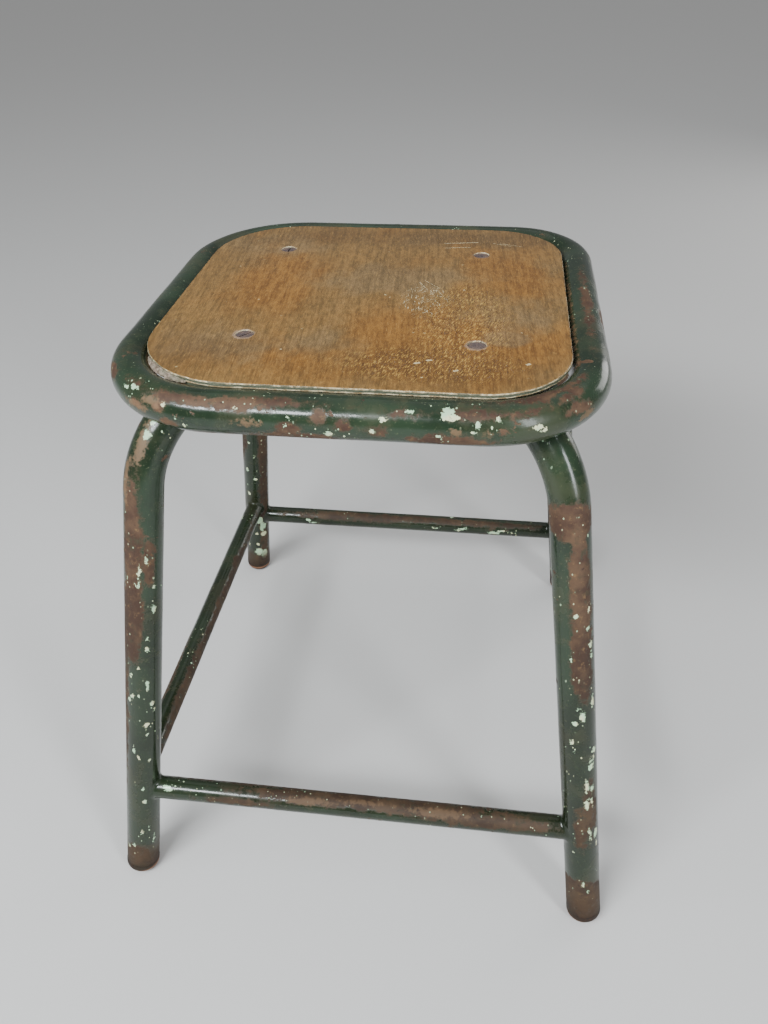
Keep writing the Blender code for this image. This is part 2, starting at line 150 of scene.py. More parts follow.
def ring_seat(side_y, side_x):
    """The point of the ring's centre line over a leg."""
    corner = f"{side_y}_{side_x}"
    radius = RING_CORNER[corner]
    turn = atan2(SIGN[side_y], SIGN[side_x]) + radians(WELD_TURN[corner])
    x = SIGN[side_x] * (RING_HALF[0] - radius) + radius * cos(turn)
    y = SIGN[side_y] * (RING_HALF[1] - radius) + radius * sin(turn)
    return RING_MIDDLE + Vector((x, y, 0))


def foot_point(side_y, side_x):
    x, y = FOOT[f"{side_y}_{side_x}"]
    return Vector((SIGN[side_x] * x, SIGN[side_y] * y, 0))


def leg_knee(side_y, side_x):
    """Where a leg's straight part and arm would meet if the bend, which just clears the ring, were sharp."""
    seat = ring_seat(side_y, side_x)
    inner = screw_point(side_y, side_x, LEG_ARM_Z)
    foot = foot_point(side_y, side_x)
    arm = Vector((inner.x - seat.x, inner.y - seat.y)).normalized()
    below = RING_MIDDLE.z - (LEG_ARM_Z - LEG_BEND)
    inward = sqrt((LEG_BEND + LEG_TUBE + RING_TUBE + 2 * GAP) ** 2 - below**2)
    centre = Vector((seat.x, seat.y)) + arm * inward
    reach = LEG_BEND
    for _ in range(12):
        knee = centre - arm * reach
        lean = atan2(hypot(foot.x - knee.x, foot.y - knee.y), LEG_ARM_Z)
        reach = LEG_BEND * tan((pi / 2 - lean) / 2)
    return Vector((knee.x, knee.y, LEG_ARM_Z))


def leg_lean(side_y, side_x):
    return (leg_knee(side_y, side_x) - foot_point(side_y, side_x)).normalized()


def leg_point(side_y, side_x, z):
    foot, knee = foot_point(side_y, side_x), leg_knee(side_y, side_x)
    return foot + (knee - foot) * (z / knee.z)


def leg_path(side_y, side_x, start):
    """A leg's centre line from `start` up its straight part, round the bend and along the arm."""
    foot, knee = foot_point(side_y, side_x), leg_knee(side_y, side_x)
    inner = screw_point(side_y, side_x, LEG_ARM_Z)
    up, along = (knee - foot).normalized(), (inner - knee).normalized()
    swing = up.angle(along)
    first = knee - up * (LEG_BEND * tan(swing / 2))
    normal = (along - up * along.dot(up)).normalized()
    bend = [
        first + up * (LEG_BEND * sin(swing * i / 72)) + normal * (LEG_BEND * (1 - cos(swing * i / 72)))
        for i in range(73)
    ]
    return [foot + up * start] + bend + [inner + along * ARM_END]


def ring_path():
    """The ring's centre line, counter-clockwise from the middle of its front."""
    outline = [RING_MIDDLE + Vector((x, y, 0)) for x, y in rounded_outline(RING_HALF, RING_CORNER, 72)]
    pairs = enumerate(zip(outline, outline[1:]))
    first = next(i for i, (a, b) in pairs if a.x < RING_MIDDLE.x <= b.x and a.y < 0)
    start = Vector((RING_MIDDLE.x, RING_MIDDLE.y - RING_HALF[1], RING_MIDDLE.z))
    return [start] + outline[first + 1 :] + outline[: first + 1]


# ---- meshes ----


def resampled(points, step, cyclic=False):
    """Points about `step` apart along a path, and how far along it each lies."""
    path = np.array([tuple(point) for point in (points + points[:1] if cyclic else points)])
    lengths = np.r_[0, np.cumsum(np.linalg.norm(np.diff(path, axis=0), axis=1))]
    count = max(2, int(round(lengths[-1] / step)))
    along = np.linspace(0, lengths[-1], count + 1)
    if cyclic:
        along = along[:-1]
    return np.column_stack([np.interp(along, lengths, path[:, i]) for i in range(3)]), along


def unit(vectors):
    return vectors / np.linalg.norm(vectors, axis=-1, keepdims=True)


def tangents(points, cyclic):
    if cyclic:
        return unit(np.roll(points, -1, axis=0) - np.roll(points, 1, axis=0))
    return unit(np.gradient(points, axis=0))


class Sweep:
    """A round section carried along a path. `roll` is the angle about it, from `first` towards `second`."""

    def __init__(self, points, radius, segments, first, cyclic=False, start=0.0):
        self.points, self.along = resampled(points, STEP, cyclic)
        self.along = self.along + start
        self.cyclic = cyclic
        self.radius = radius
        self.roll = np.arange(segments) * 2 * pi / segments
        way = tangents(self.points, cyclic)
        toward = np.array(tuple(first))
        self.first = unit(toward - way * (way @ toward)[:, None])
        self.second = np.cross(way, self.first)
        self.skin = np.full((len(self.points), segments), float(radius))

    def vertices(self):
        across = (
            self.first[:, None, :] * np.cos(self.roll)[None, :, None]
            + self.second[:, None, :] * np.sin(self.roll)[None, :, None]
        )
        return self.points[:, None, :] + across * self.skin[..., None]

    def uneven(self, size, depth, seed):
        """Slow dents in the tube's wall, inwards only."""
        for i, row in enumerate(self.vertices()):
            for j, corner in enumerate(row):
                height = noise.noise(Vector(corner) / size + Vector((seed, 0, 0)))
                self.skin[i, j] -= depth * (0.5 + 0.5 * height)


def tube_faces(rings, segments, cyclic):
    rows = rings if cyclic else rings - 1
    faces = []
    for i in range(rows):
        near, far = i * segments, (i + 1) % rings * segments
        for j in range(segments):
            after = (j + 1) % segments
            faces.append((near + j, near + after, far + after, far + j))
    return faces


def placed(name, data):
    """A new object in the scene that holds a mesh, a lamp or a camera."""
    obj = bpy.data.objects.new(name, data)
    bpy.context.scene.collection.objects.link(obj)
    return obj


def add_fields(mesh, fields):
    """Numbers on a mesh's vertices, under names that the shaders read."""
    for name, values in fields.items():
        attribute = mesh.attributes.new(name, "FLOAT", "POINT")
        attribute.data.foreach_set("value", np.asarray(values, np.float32))


def mesh_from(shape, name):
    """A mesh from a bmesh, which is freed."""
    mesh = bpy.data.meshes.new(name)
    shape.to_mesh(mesh)
    shape.free()
    return mesh


def fan(first, segments, tip, flipped=False):
    """Triangles from a ring of vertices, which starts at `first`, to a tip."""
    sides = [(first + j, first + (j + 1) % segments) for j in range(segments)]
    return [(b, a, tip) if flipped else (a, b, tip) for a, b in sides]


def new_piece(name, vertices, faces, fields=None, smooth=True):
    """An object from plain lists, with a smooth field on its vertices for each entry of `fields`."""
    mesh = bpy.data.meshes.new(name)
    mesh.from_pydata([tuple(vertex) for vertex in vertices], [], faces)
    mesh.validate()
    add_fields(mesh, fields or {})
    obj = placed(name, mesh)
    if smooth:
        mesh.shade_smooth()
    return obj


def paint_over(obj, material):
    obj.data.materials.clear()
    obj.data.materials.append(material)


def finish_piece(obj, material, *nodes):
    """Gives a piece its material, hangs it on the body, and lets it stand for its CAD nodes."""
    paint_over(obj, material)
    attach(obj, "root")
    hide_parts(*nodes)
    return obj


# ---- wear ----

FIELDS = ("rust", "chip", "bare")


def around(difference):
    """An angle difference brought into half a turn either way."""
    return (difference + pi) % (2 * pi) - pi


def marked(along, roll, radius, marks, length=None):
    """The field that a list of marks makes: 1 at a mark's middle, 0 at its edge, down to -1 away from it.

    A mark is (along, roll in degrees, its length, its width).
    """
    field = np.full(np.broadcast(along, roll).shape, -1.0)
    for place, turn, long, wide in marks:
        ahead = along - place
        if length:
            ahead = (ahead + length / 2) % length - length / 2
        aside = around(roll - radians(turn)) * radius
        distance = np.hypot(ahead / (long / 2), aside / (wide / 2))
        nearest = min(long, wide) / 2
        field = np.maximum(field, np.clip((1 - distance) * nearest / 0.004, -1, 1))
    return field


def drawn_marks(regions, seed):
    """Marks for each field, drawn at random inside regions of a tube.

    A region is (field, along, roll in degrees, how many marks, their lengths, their widths).
    """
    pick = np.random.default_rng(seed)
    marks = {name: [] for name in FIELDS}
    for name, along, roll, count, long, wide in regions:
        for _ in range(count):
            marks[name].append([pick.uniform(*span) for span in (along, roll, long, wide)])
    return marks


def unworn(count):
    return {field: np.full(count, -1.0, np.float32) for field in FIELDS}


def worn(sweep, marks, length=None):
    along, roll = sweep.along[:, None], sweep.roll[None, :]
    return {name: marked(along, roll, sweep.radius, marks.get(name, ()), length).ravel() for name in FIELDS}


SMALL_CHIP = (0.003, 0.009), (0.003, 0.006)
RUST_PATCH = (0.02, 0.10), (0.006, 0.018)

# Ring: `along` runs from the middle of its front to the right; roll 0 is its top and 90 its outer side
RING_WEAR = (
    # the front edge, worn from its left end to past the middle
    ("rust", (-0.11, -0.02), (30, 40), 4, (0.04, 0.09), (0.006, 0.008)),
    ("rust", (-0.13, 0.03), (45, 110), 8, (0.005, 0.015), (0.005, 0.009)),
    ("bare", (-0.14, -0.04), (60, 90), 4, (0.01, 0.02), (0.004, 0.008)),
    # damp held in the joint beside the board
    ("rust", (0.03, 0.14), (-8, 2), 3, (0.03, 0.08), (0.006, 0.010)),
    ("rust", (0.20, 0.32), (0, 10), 2, (0.05, 0.10), (0.005, 0.006)),
    ("bare", (0.18, 0.32), (-45, -38), 3, (0.04, 0.12), (0.003, 0.004)),
    # knocks on the right of the front, above and below
    ("rust", (0.03, 0.11), (34, 50), 4, (0.01, 0.03), (0.004, 0.006)),
    ("rust", (0.05, 0.09), (100, 118), 3, (0.01, 0.04), (0.006, 0.008)),
    ("bare", (0.04, 0.15), (80, 95), 3, (0.005, 0.015), (0.004, 0.006)),
    ("chip", (0.04, 0.09), (28, 50), 4, (0.006, 0.010), (0.004, 0.008)),
    # the two front corners
    ("rust", (0.13, 0.16), (0, 65), 4, (0.006, 0.020), (0.004, 0.008)),
    ("rust", (-0.22, -0.13), (55, 70), 3, (0.01, 0.03), (0.006, 0.010)),
    # everything else, all the way round
    ("chip", (-0.14, 0.16), (28, 112), 18, *SMALL_CHIP),
    ("rust", (0.25, 0.85), (60, 190), 8, *RUST_PATCH),
    ("chip", (0.25, 0.85), (60, 190), 20, *SMALL_CHIP),
    ("rust", (-0.30, 0.80), (130, 220), 7, *RUST_PATCH),
    ("chip", (-0.30, 0.80), (130, 220), 14, *SMALL_CHIP),
)
# Legs: `along` runs up from the floor; roll is the bearing of that side, 0 to the right and -90 to the front
LEG_WEAR = {
    "front_left": (
        # a long rust stripe down the outer side, and its stains on the bend above
        ("rust", (0.25, 0.35), (-112, -100), 4, (0.06, 0.16), (0.012, 0.018)),
        ("rust", (0.15, 0.30), (-155, -145), 2, (0.10, 0.18), (0.010, 0.012)),
        ("rust", (0.30, 0.37), (-55, -40), 3, (0.01, 0.03), (0.006, 0.010)),
        ("bare", (0.38, 0.42), (-140, -95), 4, (0.01, 0.03), (0.006, 0.010)),
        ("rust", (0.02, 0.04), (-115, -70), 2, (0.02, 0.03), (0.010, 0.040)),
        # paint chipped off the bend under the ring, then all the way down
        ("chip", (0.41, 0.43), (-98, -92), 3, (0.004, 0.009), (0.004, 0.007)),
        ("chip", (0.04, 0.34), (-125, -20), 16, (0.004, 0.012), (0.003, 0.005)),
    ),
    "front_right": (
        # a worn collar under the bend, and rust running down from it
        ("rust", (0.37, 0.38), (-100, -80), 3, (0.02, 0.03), (0.020, 0.040)),
        ("rust", (0.24, 0.34), (-74, -62), 3, (0.06, 0.12), (0.014, 0.018)),
        ("rust", (0.09, 0.15), (-95, -45), 3, (0.02, 0.06), (0.006, 0.012)),
        ("rust", (0.10, 0.30), (15, 25), 2, (0.10, 0.20), (0.010, 0.012)),
        ("rust", (0.02, 0.03), (-120, 0), 3, (0.03, 0.05), (0.030, 0.060)),
        # long flakes of paint gone from the front of the straight part
        ("chip", (0.09, 0.30), (-110, -30), 16, (0.008, 0.018), (0.002, 0.006)),
    ),
    "back_left": (
        ("rust", (0.05, 0.35), (-50, -35), 3, (0.15, 0.30), (0.010, 0.014)),
        ("rust", (0.10, 0.20), (115, 125), 1, (0.15, 0.20), (0.014, 0.016)),
        ("bare", (0.02, 0.04), (-90, -80), 1, (0.01, 0.02), (0.005, 0.007)),
        ("chip", (0.03, 0.10), (-90, -40), 6, (0.010, 0.025), (0.006, 0.012)),
    ),
    "back_right": (
        ("rust", (0.28, 0.32), (-65, -55), 1, (0.12, 0.16), (0.012, 0.016)),
        ("rust", (0.10, 0.14), (35, 45), 1, (0.20, 0.22), (0.016, 0.018)),
        ("rust", (0.02, 0.03), (-20, 20), 1, (0.03, 0.04), (0.050, 0.060)),
    ),
}
# Cross tubes: `along` runs from their middle, to the right or to the back; roll is as on the ring
RAIL_WEAR = {
    "front": (
        ("rust", (-0.06, 0.08), (0, 15), 3, (0.12, 0.22), (0.010, 0.014)),
        ("rust", (0.03, 0.13), (25, 60), 3, (0.04, 0.10), (0.008, 0.012)),
        ("rust", (-0.12, -0.09), (72, 84), 1, (0.04, 0.06), (0.005, 0.007)),
        ("rust", (-0.02, 0.02), (-52, -48), 1, (0.24, 0.28), (0.009, 0.011)),
        ("bare", (-0.06, 0.12), (15, 35), 3, (0.03, 0.06), (0.004, 0.009)),
        ("chip", (-0.16, -0.15), (38, 46), 1, (0.006, 0.010), (0.005, 0.007)),
    ),
    "back": (
        ("rust", (-0.08, 0.08), (-50, -20), 3, (0.08, 0.24), (0.007, 0.009)),
        ("chip", (-0.17, 0.13), (-114, -76), 8, (0.008, 0.018), (0.003, 0.006)),
    ),
    "left": (("rust", (-0.13, 0.08), (-80, -60), 3, (0.08, 0.24), (0.008, 0.010)),),
    "right": (
        ("rust", (-0.01, 0.03), (5, 15), 1, (0.24, 0.28), (0.011, 0.013)),
        ("rust", (0.04, 0.08), (75, 85), 1, (0.08, 0.12), (0.007, 0.009)),
    ),
}


# ---- materials ----


def shade(red, green, blue):
    """A colour given as it looks on a screen, 0 to 255, turned to linear light."""
    values = []
    for value in (red, green, blue):
        share = value / 255
        values.append(share / 12.92 if share <= 0.04045 else ((share + 0.055) / 1.055) ** 2.4)
    return (*values, 1)


class Value:
    """A socket of a finish's nodes. Adding, taking away and multiplying it makes the nodes that do so."""

    def __init__(self, finish, socket):
        self.finish = finish
        self.socket = socket

    def __add__(self, other):
        return self.finish.math("ADD", self, other)

    def __sub__(self, other):
        return self.finish.math("SUBTRACT", self, other)

    def __rsub__(self, other):
        return self.finish.math("SUBTRACT", other, self)

    def __mul__(self, other):
        return self.finish.math("MULTIPLY", self, other)

    def centred(self, gain):
        """A noise value brought to either side of 0, times a gain."""
        return (self - 0.5) * gain

    def step(self, low, high):
        """0 below `low`, 1 above `high`, smooth between."""
        feeds = {0: self, 1: low, 2: high, 3: 0.0, 4: 1.0}
        return self.finish.node("ShaderNodeMapRange", feeds, interpolation_type="SMOOTHSTEP")


class Finish:
    """A node material under construction. Its calls take values, numbers and colours, and give values."""

    def __init__(self, name, **constants):
        self.material = bpy.data.materials.new(name)
        self.material.use_nodes = True
        self.tree = self.material.node_tree
        self.shader = self.tree.nodes["Principled BSDF"]
        for socket, value in constants.items():
            self.shader.inputs[socket.replace("_", " ")].default_value = value
        self.place = self.node("ShaderNodeTexCoord", {}, "Object")

    def node(self, kind, feeds, output=0, **settings):
        made = self.tree.nodes.new(kind)
        for key, value in settings.items():
            setattr(made, key, value)
        for socket, value in feeds.items():
            self.feed(made.inputs[socket], value)
        return Value(self, made.outputs[output])

    def feed(self, socket, value):
        if isinstance(value, Value):
            self.tree.links.new(value.socket, socket)
        else:
            socket.default_value = value

    def math(self, operation, first, second, clamp=False):
        return self.node("ShaderNodeMath", {0: first, 1: second}, operation=operation, use_clamp=clamp)

    def most(self, first, second):
        return self.math("MAXIMUM", first, second)

    def vector(self, operation, first, second, output="Vector"):
        return self.node("ShaderNodeVectorMath", {0: first, 1: second}, output, operation=operation)

    def field(self, name):
        return self.node("ShaderNodeAttribute", {}, "Fac", attribute_name=name)

    def scaled(self, x, y, z, turn=0.0):
        """The place for a pattern drawn out along an axis with a factor under 1, then turned about Z."""
        feeds = {"Vector": self.place, "Scale": (1 / x, 1 / y, 1 / z), "Rotation": (0, 0, radians(turn))}
        return self.node("ShaderNodeMapping", feeds, vector_type="TEXTURE")

    def noise(self, scale, detail=4.0, rough=0.6, place=None, distortion=0.0):
        feeds = {"Vector": place or self.place, "Scale": scale, "Detail": detail, "Roughness": rough}
        return self.node("ShaderNodeTexNoise", {**feeds, "Distortion": distortion})

    def cells(self, scale, place, output="Distance"):
        return self.node("ShaderNodeTexVoronoi", {"Vector": place, "Scale": scale}, output)

    def mix(self, share, first, second):
        return self.node("ShaderNodeMix", {0: share, 6: first, 7: second}, 2, data_type="RGBA")

    def stain(self, colour, share, strength, paint):
        """A colour with some of another laid over it."""
        return self.mix(share * strength, colour, paint)

    def between(self, share, first, second):
        return self.node("ShaderNodeMix", {0: share, 2: first, 3: second}, data_type="FLOAT")

    def axis(self, name):
        return self.node("ShaderNodeSeparateXYZ", {0: self.place}, name)

    def colour(self, value):
        self.feed(self.shader.inputs["Base Color"], value)

    def roughness(self, value):
        self.feed(self.shader.inputs["Roughness"], value)

    def coat(self, weight, rough):
        self.feed(self.shader.inputs["Coat Weight"], weight)
        self.shader.inputs["Coat Roughness"].default_value = rough

    def bump(self, height, distance):
        relief = self.node("ShaderNodeBump", {"Height": height, "Distance": distance})
        self.feed(self.shader.inputs["Normal"], relief)


def rust_colour(finish):
    """Brown to purple-brown, mottled, with near-black pits and tan bloom."""
    broad = finish.noise(38, 5, 0.65)
    fine = finish.noise(260, 6, 0.7)
    body = finish.mix(broad.step(0.38, 0.62), shade(62, 42, 31), shade(88, 66, 48))
    body = finish.mix(fine.step(0.54, 0.74), body, shade(116, 90, 60))
    body = finish.mix(finish.noise(55, 6, 0.7).step(0.55, 0.68), body, shade(60, 54, 38))
    return finish.mix(fine.step(0.42, 0.28), body, shade(44, 30, 25))


def worn_paint(name):
    """Glossy green over an older pale coat over rust, each showing where the one above has gone."""
    finish = Finish(name)
    height = finish.axis("Z")
    fine = finish.noise(420, 5, 0.65)
    medium = finish.noise(95, 6, 0.62)
    broad = finish.noise(16, 4, 0.6)
    grain = fine.centred(1.6)
    ragged = medium.centred(3.0)

    green = finish.mix(broad.step(0.38, 0.62), shade(26, 39, 25), shade(38, 54, 37))
    green = finish.mix(medium.step(0.52, 0.74), green, shade(46, 57, 37))
    green = finish.mix(finish.noise(700, 3, 0.6).step(0.62, 0.74), green, shade(88, 94, 70))

    worn_field = finish.field("rust") + (ragged + grain)
    thin = finish.noise(22, 5, 0.6).centred(5.5).step(0.0, 0.8)
    stain = worn_field.step(-0.7, 0.1)
    holes = finish.noise(150, 5, 0.7, finish.scaled(1, 1, 0.6)).step(0.6, 0.66)
    rust = worn_field.step(-0.2, 0.22) * (1.0 - holes * 0.8)
    stray = finish.noise(34, 8, 0.7) + grain * 0.04
    rust = finish.most(rust, stray.step(0.62, 0.65))

    chip_edge = grain * 0.9 + finish.noise(900, 3, 0.7).centred(0.6)
    chips = (finish.field("chip") + chip_edge).step(0.16, 0.22)
    chips = finish.most(chips, specks(finish, grain, 330, 0.91, 0.2))
    chips = finish.most(chips, specks(finish, grain, 640, 0.92, 0.24))
    crumbs = specks(finish, grain, 520, 0.93, 0.24, drifts=False) * rust
    chips = finish.most(chips, crumbs * 0.6)
    faded = finish.noise(90, 3, 0.5).step(0.42, 0.62)
    pale = finish.mix(faded, shade(178, 210, 172), shade(214, 214, 172))
    bare_edge = finish.noise(230, 6, 0.7).centred(3.4)
    bare = (finish.field("bare") + bare_edge).step(-0.1, 0.45)

    colour = finish.stain(green, thin, 0.28, shade(74, 70, 46))
    colour = finish.stain(colour, stain, 0.55, shade(64, 54, 37))
    colour = finish.mix(rust, colour, rust_colour(finish))
    colour = finish.stain(colour, bare, 0.55, shade(132, 102, 74))
    # Painted shade: the paint is darkened more and more towards the floor, below about 0.46 m, standing in
    # for the dimmer light low on the legs.
    low_shade = (height + medium * 0.1).step(0.46, 0.16)
    colour = finish.stain(colour, low_shade, 0.42, shade(26, 26, 14))
    colour = finish.mix(chips, colour, pale)
    level = height + medium * 0.03
    foot = level.step(0.06, 0.028)
    damp = finish.mix(level.step(0.022, 0.044), foot_colour(finish, fine), shade(64, 46, 28))
    colour = finish.mix(foot, colour, damp)
    finish.colour(colour)

    dull = finish.most(finish.most(rust, foot), bare * 0.8)
    gloss = finish.between(medium.step(0.4, 0.7), 0.16, 0.26)
    gloss = finish.between(finish.most(thin, stain), gloss, 0.34)
    finish.roughness(finish.between(dull, gloss, 0.66))
    finish.coat(finish.between(dull, 0.16, 0.0), 0.1)
    finish.shader.inputs["Specular IOR Level"].default_value = 0.34
    coat = finish.most(rust, chips) * -0.7
    pits = fine * dull * 0.7
    skin = finish.noise(90, 3, 0.5) * 0.7
    finish.bump(coat + pits + skin, 0.0003)
    return finish.material


def specks(finish, grain, scale, rare, size, drifts=True):
    """Small chips scattered in drifts: cells of a mosaic, most of them left out."""
    place = finish.scaled(1, 1, 0.6)
    pick = finish.node("ShaderNodeSeparateColor", {0: finish.cells(scale, place, "Color")})
    drift = finish.noise(26, 2, 0.5).step(0.5, 0.62) if drifts else 1.0
    chosen = pick.step(rare, rare + 0.05) * drift
    reach = finish.cells(scale, place) + grain * 0.28
    return chosen * reach.step(size + 0.05, size)


def foot_colour(finish, fine):
    """Bare orange-brown rust where a foot has stood in the wet."""
    ember = finish.mix(fine.step(0.38, 0.64), shade(30, 20, 14), shade(54, 37, 24))
    return finish.mix(finish.noise(70, 5, 0.6).step(0.44, 0.62), ember, shade(42, 34, 23))


def foot_rust(name):
    finish = Finish(name, Specular_IOR_Level=0.3)
    height = finish.axis("Z")
    fine = finish.noise(420, 5, 0.65)
    # Painted shadow: the cap's lowest few millimetres, where it meets the floor, are darkened.
    under = height.step(0.004, 0.0012)
    colour = finish.mix(under, foot_colour(finish, fine), shade(36, 28, 24))
    # Painted highlight: a pale band round the cap's rounded shoulder, about 3 to 8 mm up.
    rim = height.step(0.003, 0.0045) * height.step(0.008, 0.0055)
    colour = finish.stain(colour, rim, 0.55, shade(168, 120, 92))
    finish.colour(colour)
    finish.roughness(finish.between(fine, 0.5, 0.8))
    finish.bump(fine, 0.0003)
    return finish.material


def varnished_ply(name):
    """Amber varnish over fine grain, grey where it has worn, checked where it is thick, and scratched."""
    finish = Finish(name)
    grain = finish.noise(420, 8, 0.68, finish.scaled(1, 0.06, 1, 4), 0.1)
    fibres = finish.noise(1000, 5, 0.7, finish.scaled(1, 0.14, 1, 4))
    mottle = finish.noise(260, 7, 0.7, finish.scaled(1, 0.5, 1, 8))
    blotches = finish.noise(26, 6, 0.6, finish.scaled(1, 0.6, 1, -6))
    dim = finish.field("dim") + finish.noise(14, 5, 0.6).centred(2.4)

    tone = grain * 0.55 + mottle * 0.45
    amber = finish.mix(tone.step(0.38, 0.62), shade(102, 77, 38), shade(142, 106, 56))
    orange = finish.mix(tone.step(0.38, 0.62), shade(108, 67, 18), shade(152, 104, 40))
    grey = finish.mix(tone.step(0.38, 0.62), shade(94, 78, 52), shade(128, 106, 74))
    warm = finish.field("warm") + blotches.centred(2.0)
    worn_away = finish.field("grey") + blotches.centred(-2.4)
    colour = finish.stain(amber, warm.step(0.0, 0.9), 0.8, orange)
    colour = finish.stain(colour, worn_away.step(0.0, 0.8), 0.62, grey)
    colour = finish.stain(colour, dim.step(0.0, 1.0), 0.46, shade(76, 52, 24))
    colour = finish.stain(colour, fibres.step(0.53, 0.7), 0.42, shade(182, 140, 76))
    colour = finish.stain(colour, fibres.step(0.47, 0.32), 0.42, shade(74, 46, 16))

    checks = finish.noise(900, 3, 0.55, finish.scaled(1, 0.24, 1, -14), 0.5)
    thick = finish.field("checked").step(0.0, 0.8)
    checked = checks.step(0.55, 0.62) * thick
    dark = checks.step(0.45, 0.36) * thick
    colour = finish.stain(colour, checked, 0.55, shade(206, 166, 84))
    colour = finish.stain(colour, dark, 0.45, shade(84, 52, 12))

    scratch = scratches(finish)
    colour = finish.stain(colour, scratch, 0.85, shade(200, 182, 142))
    specs = specks(finish, finish.noise(600, 3, 0.6).centred(1.6), 260, 0.95, 0.2)
    colour = finish.stain(colour, specs, 0.8, shade(206, 186, 140))
    colour = finish.mix(screw_rims(finish), colour, shade(164, 138, 116))

    finish.colour(finish.mix(edge_share(finish), colour, edge_colour(finish, fibres)))
    gloss = finish.between(worn_away.step(0.0, 0.6), 0.28, 0.48)
    finish.roughness(finish.between(finish.most(scratch, edge_share(finish)), gloss, 0.7))
    relief = tone + fibres * 0.8 - finish.most(scratch, dark) * 0.6
    finish.bump(relief + blotches * 1.2, 0.0003)
    return finish.material


def edge_share(finish):
    """1 on the board's side and underside, 0 on its top."""
    depth = PANEL_HIGH.z - finish.axis("Z")
    wander = finish.noise(160, 4, 0.6).centred(0.0007)
    return (depth + wander).step(0.0002, 0.0005)


def edge_colour(finish, fibres):
    """The plies seen edge-on: pale worn veneers with a dirty green-grey core between them."""
    depth = PANEL_HIGH.z - finish.axis("Z")
    wander = finish.noise(90, 4, 0.6, finish.scaled(1, 1, 0.2)).centred(0.0016)
    depth = depth + wander
    core = finish.mix(fibres.step(0.4, 0.7), shade(66, 72, 56), shade(98, 100, 80))
    dirt = finish.noise(240, 4, 0.6).step(0.4, 0.6)
    pale = finish.mix(dirt, shade(150, 128, 92), shade(206, 194, 158))
    gone = finish.noise(70, 5, 0.65).step(0.5, 0.56)
    top_ply = depth.step(0.0013, 0.001) * finish.between(gone, 1.0, 0.15)
    low_ply = depth.step(0.0026, 0.0029) * depth.step(0.004, 0.0037)
    under = depth.step(0.0062, 0.0068)
    colour = finish.mix(finish.most(top_ply, low_ply), core, pale)
    return finish.mix(under, colour, finish.mix(fibres, shade(96, 74, 50), shade(132, 104, 70)))


def split_core(name):
    """Torn wood and old glue: pinkish grey, rough and crumbly."""
    finish = Finish(name)
    crumbs = finish.noise(420, 6, 0.7)
    stain = finish.noise(90, 4, 0.6)
    colour = finish.mix(crumbs.step(0.4, 0.62), shade(92, 78, 64), shade(158, 140, 124))
    finish.colour(finish.stain(colour, stain.step(0.45, 0.65), 0.5, shade(104, 108, 88)))
    finish.roughness(0.85)
    finish.bump(crumbs, 0.0005)
    return finish.material


# Scratches, by region from the board's middle: x, y, how many, lengths, bearings in degrees, half widths
SCRATCHES = (
    ((0.04, 0.06), (0.09, 0.11), 2, (0.02, 0.03), (5, 15), (0.0002, 0.0006)),  # before the back right screw
    ((0.08, 0.11), (0.11, 0.12), 2, (0.015, 0.020), (-25, -15), (0.0002, 0.0003)),  # along the back edge
    ((0.03, 0.05), (0.00, 0.06), 4, (0.010, 0.020), (-80, -40), (0.0002, 0.0004)),  # right of the middle
    ((-0.02, 0.12), (-0.12, -0.10), 4, (0.001, 0.003), (0, 40), (0.0009, 0.0018)),  # front edge
)


def drawn_scratches():
    """(start, run, half of the width) of each scratch."""
    pick = np.random.default_rng(8)
    for x, y, count, lengths, bearings, halves in SCRATCHES:
        for _ in range(count):
            start = Vector((PANEL_MIDDLE.x + pick.uniform(*x), PANEL_MIDDLE.y + pick.uniform(*y), 0))
            turn = radians(pick.uniform(*bearings))
            yield start, Vector((cos(turn), sin(turn), 0)) * pick.uniform(*lengths), pick.uniform(*halves)


def scratches(finish):
    """Where the board is scratched: inside a narrow band about any of the scratches, broken up by noise."""
    flat = finish.vector("MULTIPLY", finish.place, (1, 1, 0))
    wander = finish.noise(500, 4, 0.7).centred(0.0014)
    found = 0.0
    for start, run, half in drawn_scratches():
        away = finish.vector("SUBTRACT", flat, start)
        ahead = finish.vector("DOT_PRODUCT", away, run, "Value")
        share = finish.math("MULTIPLY", ahead, 1 / run.length_squared, clamp=True)
        nearest = finish.node("ShaderNodeVectorMath", {0: run, "Scale": share}, operation="SCALE")
        distance = finish.vector("DISTANCE", away, nearest, "Value")
        inside = half - distance + wander
        found = finish.most(found, inside.step(-0.00005, 0.00015))
    scuffed = finish.field("scuffed").step(0.0, 0.6)
    for turn in (52, 98):
        strokes = finish.noise(1100, 2, 0.5, finish.scaled(0.14, 1, 1, turn), 0.2)
        found = finish.most(found, strokes.step(0.61, 0.67) * scuffed)
    return found


def screw_rims(finish):
    """The pale, chewed edge of each screw's hole, on the side where the varnish has broken away."""
    flat = finish.vector("MULTIPLY", finish.place, (1, 1, 0))
    wander = finish.noise(260, 4, 0.7).centred(0.006)
    found = 0.0
    for side_y, side_x in CORNERS:
        middle = screw_point(side_y, side_x, 0) + Vector((-0.0006, -0.0008, 0))
        distance = finish.vector("DISTANCE", flat, middle, "Value") + wander
        rim = distance.step(SCREW_HEAD + 0.002, SCREW_HEAD + 0.0006)
        strength = 0.55 if side_y == "front" else 0.10
        found = finish.most(found, rim * strength)
    return found


def dull_steel(name):
    finish = Finish(name, Metallic=0.2)
    stain = finish.noise(180, 5, 0.65)
    fine = finish.noise(500, 5, 0.7)
    colour = finish.mix(stain.step(0.4, 0.62), shade(84, 72, 72), shade(112, 94, 84))
    finish.colour(finish.mix(fine.step(0.56, 0.7), colour, shade(110, 84, 62)))
    finish.roughness(finish.between(stain, 0.5, 0.8))
    finish.bump(fine, 0.0002)
    return finish.material


# ---- pieces ----


